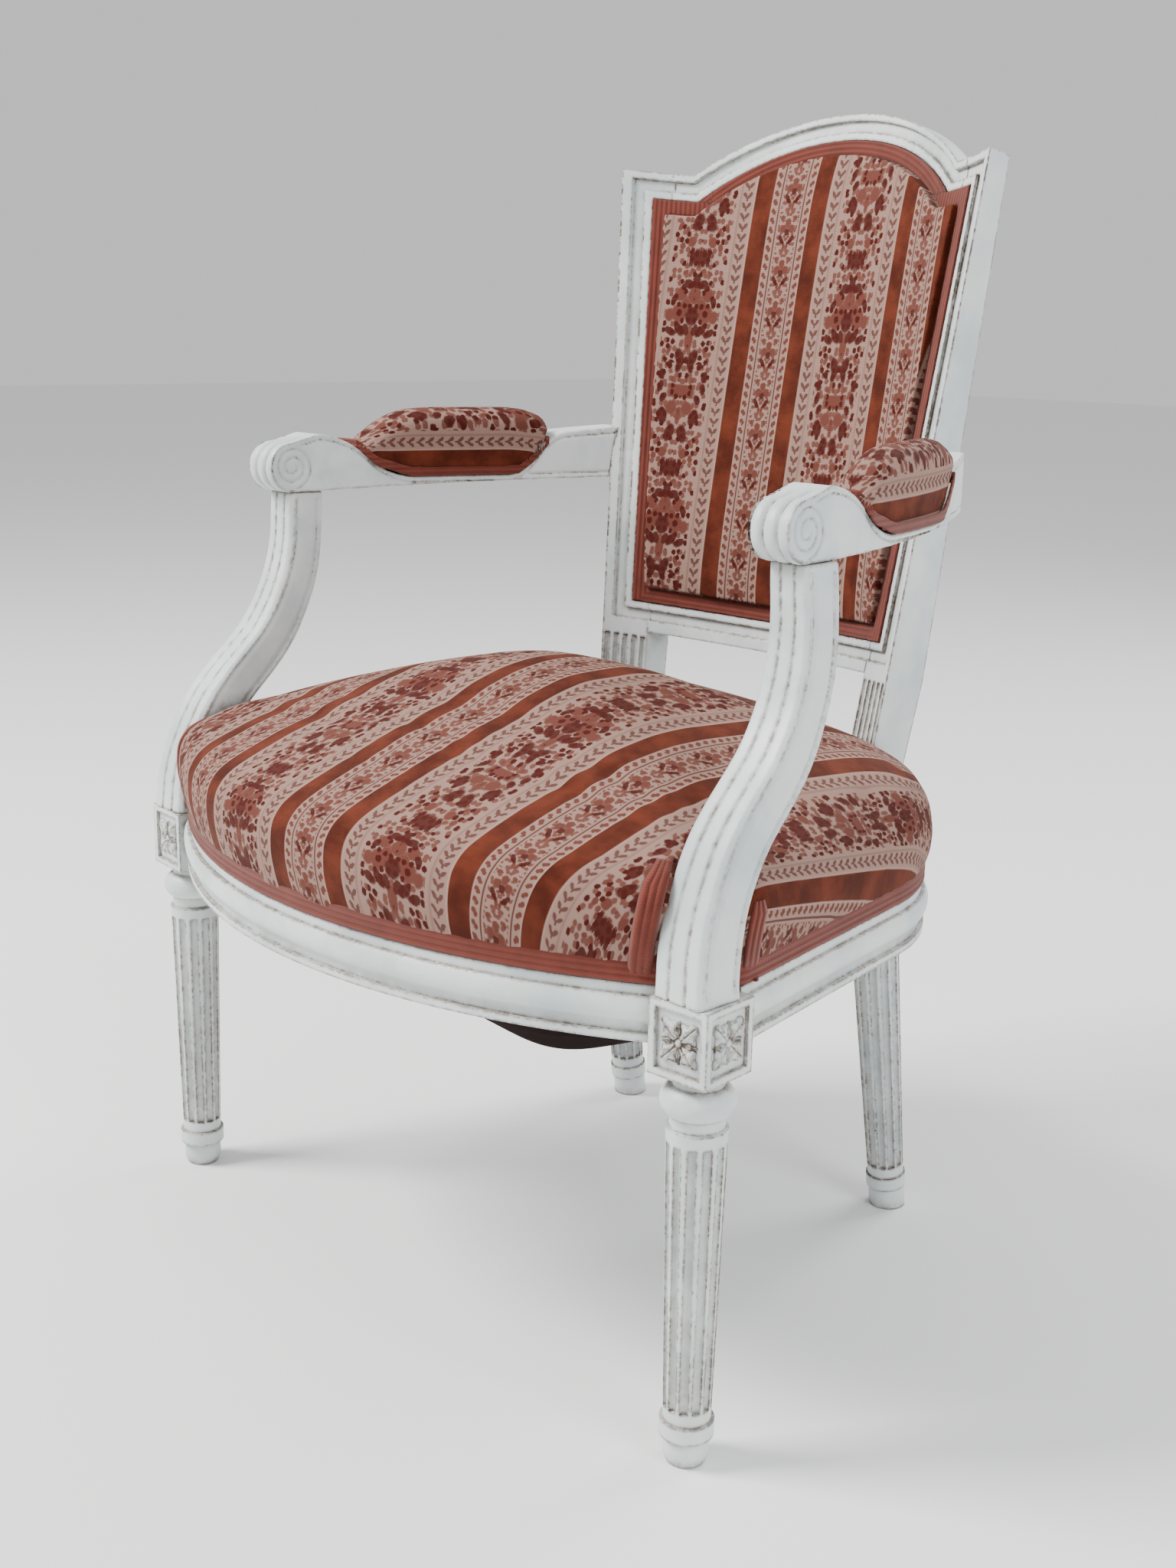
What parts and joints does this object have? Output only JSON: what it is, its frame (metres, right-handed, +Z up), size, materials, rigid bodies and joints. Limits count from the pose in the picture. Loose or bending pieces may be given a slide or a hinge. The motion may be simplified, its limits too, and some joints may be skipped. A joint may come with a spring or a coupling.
{
  "type": "upholstered armchair",
  "caption": "Open armchair with a painted carved frame, fluted tapering legs, scrolled padded arms, a domed sprung seat and a concave arched upholstered back.",
  "frame": {"origin": "on the floor, in the middle of the chair's overall box", "axes": "+X across to the right-hand side as the chair is faced from the front, +Y from the front towards the back, +Z up"},
  "size_m": [0.6228, 0.5756, 0.868],
  "materials": {
    "painted_frame": "worn pale grey-white distemper paint over carved beech, chipped on the edges",
    "bare_wood": "bare beech, unfinished",
    "screw_steel": "dull steel",
    "spring_steel": "dull coppered steel wire",
    "jute_webbing": "woven jute",
    "linen_canvas": "coarse linen",
    "stuffing": "curled hair stuffing",
    "striped_velvet": "cut velvet woven in stripes with flower sprigs, rust brown on a pale rose ribbed ground",
    "gimp_braid": "terracotta braid",
    "dust_cloth": "thin dark cloth"
  },
  "bodies": {
    "root": {"front_leg_right": "painted_frame", "front_leg_left": "painted_frame", "rear_post_right": "painted_frame", "rear_post_left": "painted_frame", "front_rail": "painted_frame", "side_rail_right": "painted_frame", "side_rail_left": "painted_frame", "rear_rail": "painted_frame", "crest_rail": "painted_frame", "lower_back_rail": "painted_frame", "arm_right": "painted_frame", "arm_left": "painted_frame", "arm_support_right": "painted_frame", "arm_support_left": "painted_frame", "corner_brace_front_right": "bare_wood", "corner_brace_front_left": "bare_wood", "corner_brace_rear_right": "bare_wood", "corner_brace_rear_left": "bare_wood", "seat_frame_pegs": "bare_wood", "back_frame_pegs": "bare_wood", "arm_dowels": "bare_wood", "brace_screws": "screw_steel", "seat_springs": "spring_steel", "seat_webbing": "jute_webbing", "back_webbing": "jute_webbing", "spring_canvas": "linen_canvas", "back_canvas": "linen_canvas", "seat_stuffing": "stuffing", "back_stuffing": "stuffing", "arm_stuffing_right": "stuffing", "arm_stuffing_left": "stuffing", "seat_cover": "striped_velvet", "back_cover": "striped_velvet", "arm_cover_right": "striped_velvet", "arm_cover_left": "striped_velvet", "seat_gimp_front": "gimp_braid", "seat_gimp_right": "gimp_braid", "seat_gimp_left": "gimp_braid", "seat_gimp_rear": "gimp_braid", "back_gimp_front": "gimp_braid", "back_gimp_rear": "gimp_braid", "arm_gimp_right": "gimp_braid", "arm_gimp_left": "gimp_braid", "back_outside_cover": "striped_velvet", "dust_cover": "dust_cloth"}
  },
  "joints": []
}
